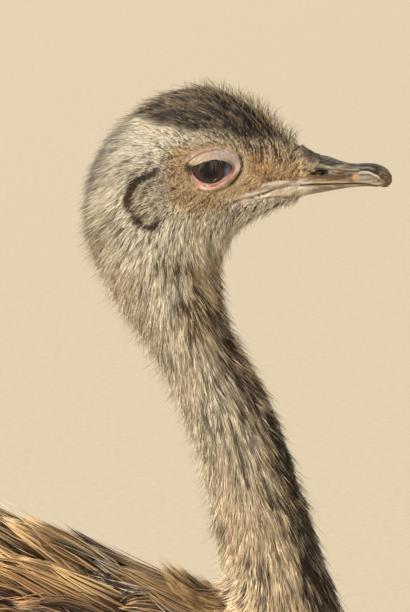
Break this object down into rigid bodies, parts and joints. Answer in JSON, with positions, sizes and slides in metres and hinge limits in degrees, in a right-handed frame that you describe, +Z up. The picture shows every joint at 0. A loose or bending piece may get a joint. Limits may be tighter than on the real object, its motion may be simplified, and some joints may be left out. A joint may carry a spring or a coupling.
{
  "type": "greater rhea",
  "caption": "Life-size standing greater rhea, a large flightless ground bird, with its neck drawn up in an S and its bill held level.",
  "frame": {"origin": "on the floor under the middle of the whole bird's bounding box", "axes": "+Z up, the bird faces +X, its right side is towards -Y"},
  "size_m": [0.8152, 0.3906, 1.2171],
  "materials": {
    "head_plumage": "short hair-like feathers, dark cap, cream band behind the eye, tan face",
    "neck_plumage": "short shaggy cream-grey feathers with fine dark streaks",
    "body_plumage": "long loose brown, buff and cream plumes",
    "leg_skin": "bare scaled grey-brown skin",
    "claw_horn": "dark horn",
    "bill_horn": "grey-brown horn, paler below, with a dark brown nail",
    "eye": "wet dark brown eye"
  },
  "bodies": {
    "root": {"beak_lower": "bill_horn", "beak_upper": "bill_horn", "claw_inner_L": "claw_horn", "claw_inner_R": "claw_horn", "claw_middle_L": "claw_horn", "claw_middle_R": "claw_horn", "claw_outer_L": "claw_horn", "claw_outer_R": "claw_horn", "ear_L": "head_plumage", "ear_R": "head_plumage", "eye_L": "eye", "eye_R": "eye", "foot_L": "leg_skin", "foot_R": "leg_skin", "head": "head_plumage", "neck_lower": "neck_plumage", "neck_middle": "neck_plumage", "neck_upper": "neck_plumage", "shank_L": "leg_skin", "shank_R": "leg_skin", "tail": "body_plumage", "thigh_L": "body_plumage", "thigh_R": "body_plumage", "toe_inner_L": "leg_skin", "toe_inner_R": "leg_skin", "toe_middle_L": "leg_skin", "toe_middle_R": "leg_skin", "toe_outer_L": "leg_skin", "toe_outer_R": "leg_skin", "trunk": "body_plumage", "wing_L": "body_plumage", "wing_R": "body_plumage"}
  },
  "joints": []
}
